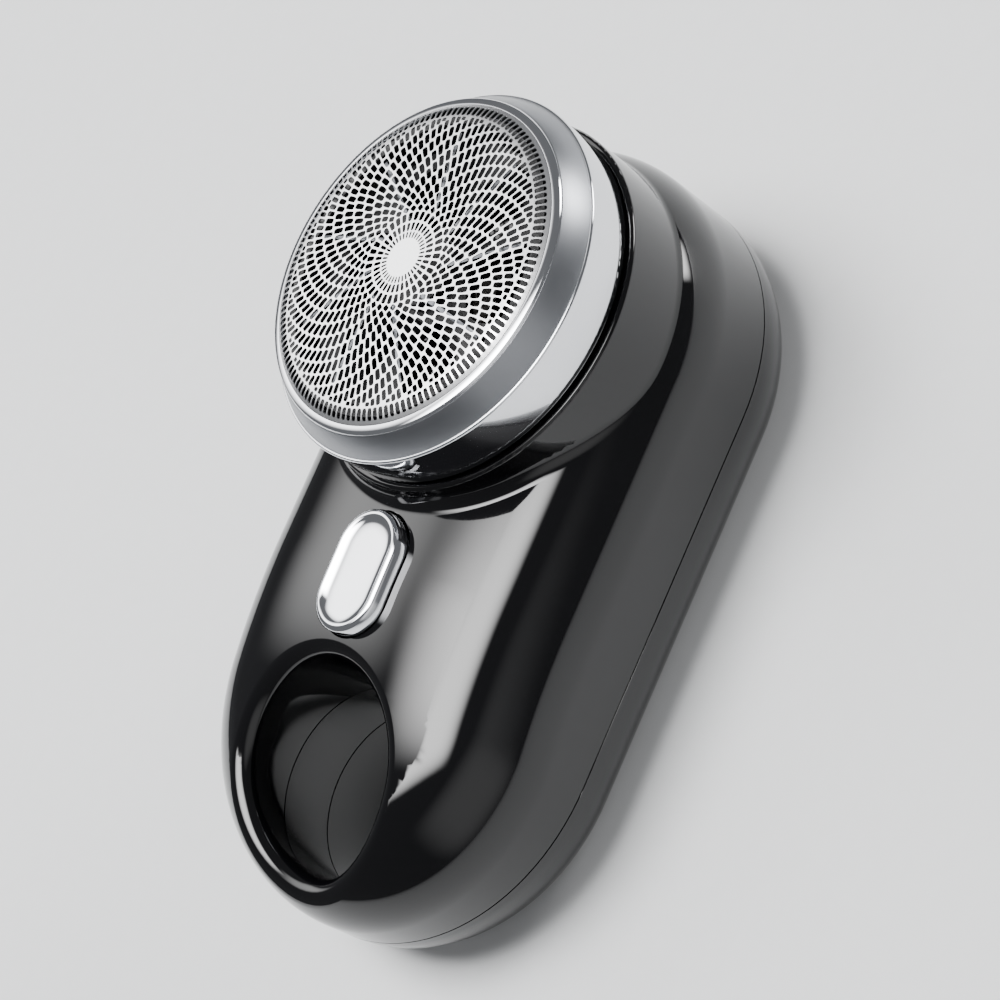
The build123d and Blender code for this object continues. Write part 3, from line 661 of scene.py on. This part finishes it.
foil_play = 0.02 * mm           # between the foil's edge and the skirt
bpy.ops.object.select_all(action="DESELECT")
bpy.ops.mesh.primitive_circle_add(vertices=4, radius=1.0, fill_type="NOTHING")
foil = bpy.context.object
bpy.ops.object.mode_set(mode="EDIT")
bpy.ops.mesh.select_all(action="SELECT")
bpy.ops.mesh.delete(type="VERT")
for slot_values in slots:
    outline_slot(*slot_values)
bpy.ops.mesh.select_all(action="SELECT")
bpy.ops.mesh.spin(steps=arms - 1, dupli=True, angle=arm_angle * (arms - 1), center=head,
                  axis=(0, 0, 1))
bpy.ops.mesh.primitive_circle_add(vertices=360, radius=foil_radius - foil_play,
                                  fill_type="NOTHING", location=head)
bpy.ops.mesh.select_all(action="SELECT")
bpy.ops.mesh.fill(use_beauty=True)
bpy.ops.object.mode_set(mode="OBJECT")
print("flat foil", len(foil.data.vertices), "points", len(foil.data.polygons), "faces")

# %% [markdown]
# The flat sheet is laid on the dome by raising each point: the middle is gently domed and
# the last few millimetres roll down into the cap, so the rim catches less of the light.
# Solidify then gives the sheet its thickness, downwards.

# %% Doming the foil
crown_height = foil_high.z
foil_sheet = 0.09 * mm
rim_height = foil_low.z + 0.2 * mm
rise = crown_height - rim_height
rolled_share = 0.5              # of the whole fall, this much comes in the rolled rim
rim_sharpness = 22
for vertex in foil.data.vertices:
    reach = hypot(vertex.co.x - head.x, vertex.co.y - head.y) / foil_radius
    fall = (1 - rolled_share) * reach ** 2 + rolled_share * reach ** rim_sharpness
    vertex.co.z = crown_height - rise * fall
only(foil)
bpy.ops.object.mode_set(mode="EDIT")
bpy.ops.mesh.select_all(action="SELECT")
bpy.ops.mesh.normals_make_consistent(inside=False)
bpy.ops.object.mode_set(mode="OBJECT")
if foil.data.polygons[0].normal.z < 0:
    bpy.ops.object.mode_set(mode="EDIT")
    bpy.ops.mesh.flip_normals()
    bpy.ops.object.mode_set(mode="OBJECT")
thicken = foil.modifiers.new("sheet_thickness", "SOLIDIFY")
thicken.thickness = foil_sheet
thicken.offset = -1.0
bpy.ops.object.modifier_apply(modifier=thicken.name)
settle(foil, "shaving_foil_pierced", "head_cap", foil_nickel, ("shaving_foil",),
       35.0)

# %% [markdown]
# ## Floor, light and camera
# A pale floor and soft boxes, as in a small product studio. Black gloss has almost no colour
# of its own: what it shows is the lights. One box stands to the left, a long bright one hangs
# overhead, a small bright one stands low past the head end, and a wide weak one fills in
# from the camera's side. Each fades towards its edges, so its reflection has a soft border.

# %% Floor
floor_size = 4.0
floor_drop = 0.02 * mm          # the body's back just clears the floor
bpy.ops.object.select_all(action="DESELECT")
bpy.ops.mesh.primitive_plane_add(size=floor_size, location=(0, 0, -floor_drop))
floor = bpy.context.object
floor.name = "pale_floor"
paper, paper_tree, paper_surface, paper_place = new_material("matt_paper", IOR=1.45)
fibre = add(paper_tree, "ShaderNodeTexNoise", {"Vector": paper_place}, Scale=per_metre(2.0),
            Detail=4.0)
two_tone(paper_tree, paper_surface, fibre.outputs["Fac"], "#DBDCDD", "#E0E1E2")
vary_roughness(paper_tree, paper_surface, fibre.outputs["Fac"], 0.6, 0.75)
give(floor, paper)
print("floor", floor_size, "m square")

# %% Lights
lights_aim = Vector((0, 0, 15 * mm))
full_bow = 0.25                 # what x * (1 - x) comes to in the middle of the lamp


def soft_box(name, towards, distance, width, height, brightness):
    """A rectangular lamp out along a direction, which fades towards its edges."""
    lamp = bpy.data.lights.new(name, "AREA")
    lamp.shape = "RECTANGLE"
    lamp.size = width
    lamp.size_y = height
    lamp.energy = brightness * pi * width * height
    lamp.use_nodes = True
    tree = lamp.node_tree
    place = add(tree, "ShaderNodeNewGeometry").outputs["Parametric"]
    parts = add(tree, "ShaderNodeSeparateXYZ", {"Vector": place})
    fades = []
    for axis_name in ("X", "Y"):
        far_side = add(tree, "ShaderNodeMath", {1: parts.outputs[axis_name]},
                       operation="SUBTRACT")
        far_side.inputs[0].default_value = 1.0
        bow = add(tree, "ShaderNodeMath", {0: parts.outputs[axis_name],
                                           1: far_side.outputs["Value"]}, operation="MULTIPLY")
        fade = add(tree, "ShaderNodeMapRange", {"Value": bow.outputs["Value"]},
                   interpolation_type="SMOOTHSTEP", From_Max=full_bow)
        fades.append(fade.outputs["Result"])
    both = add(tree, "ShaderNodeMath", {0: fades[0], 1: fades[1]}, operation="MULTIPLY")
    tree.links.new(both.outputs["Value"], tree.nodes["Emission"].inputs["Strength"])
    box = bpy.data.objects.new(name, lamp)
    box.location = lights_aim + Vector(towards).normalized() * distance
    box.rotation_euler = (lights_aim - box.location).to_track_quat("-Z", "Y").to_euler()
    bpy.context.scene.collection.objects.link(box)
    print(name, round(width, 2), "x", round(height, 2), "m")


soft_box("left_box", (-0.76, 0.14, 0.64), 0.60, 0.40, 0.46, 4.6)
soft_box("overhead_box", (-0.13, -0.02, 0.99), 0.60, 0.36, 0.62, 24.0)
soft_box("head_end_box", (0.39, 0.91, 0.18), 0.55, 0.22, 0.22, 26.0)
soft_box("camera_side_fill", (0.80, -0.40, 0.48), 0.60, 0.80, 0.80, 0.9)

world = bpy.data.worlds.new("studio_air")
world.use_nodes = True
world.node_tree.nodes["Background"].inputs["Color"].default_value = colour("#DADCE0")
world.node_tree.nodes["Background"].inputs["Strength"].default_value = 0.25
bpy.context.scene.world = world

# %% [markdown]
# The camera stands off the right side, a little towards the tail and well above the floor,
# and is rolled, so that the head end points up and to the right. It has a long lens, as product
# pictures do, which keeps the rings of the head nearly true.

# %% Camera
camera_azimuth = radians(78.954)
camera_height = radians(43.041)
camera_roll = radians(-58.544)
camera_distance = 0.25851
camera_aim = Vector((0.0, 0.00386, 0.01174))
lens = bpy.data.cameras.new("studio_camera")
lens.sensor_width = 36.0
lens.lens = 104.4
camera = bpy.data.objects.new("studio_camera", lens)
way_out = Vector((sin(camera_azimuth) * cos(camera_height),
                  -cos(camera_azimuth) * cos(camera_height), sin(camera_height)))
camera.location = camera_aim + way_out * camera_distance
upright = (-way_out).to_track_quat("-Z", "Y").to_matrix()
camera.rotation_euler = (upright @ Matrix.Rotation(camera_roll, 3, "Z")).to_euler()
bpy.context.scene.collection.objects.link(camera)
bpy.context.scene.camera = camera
print("camera at", [round(value, 4) for value in camera.location])
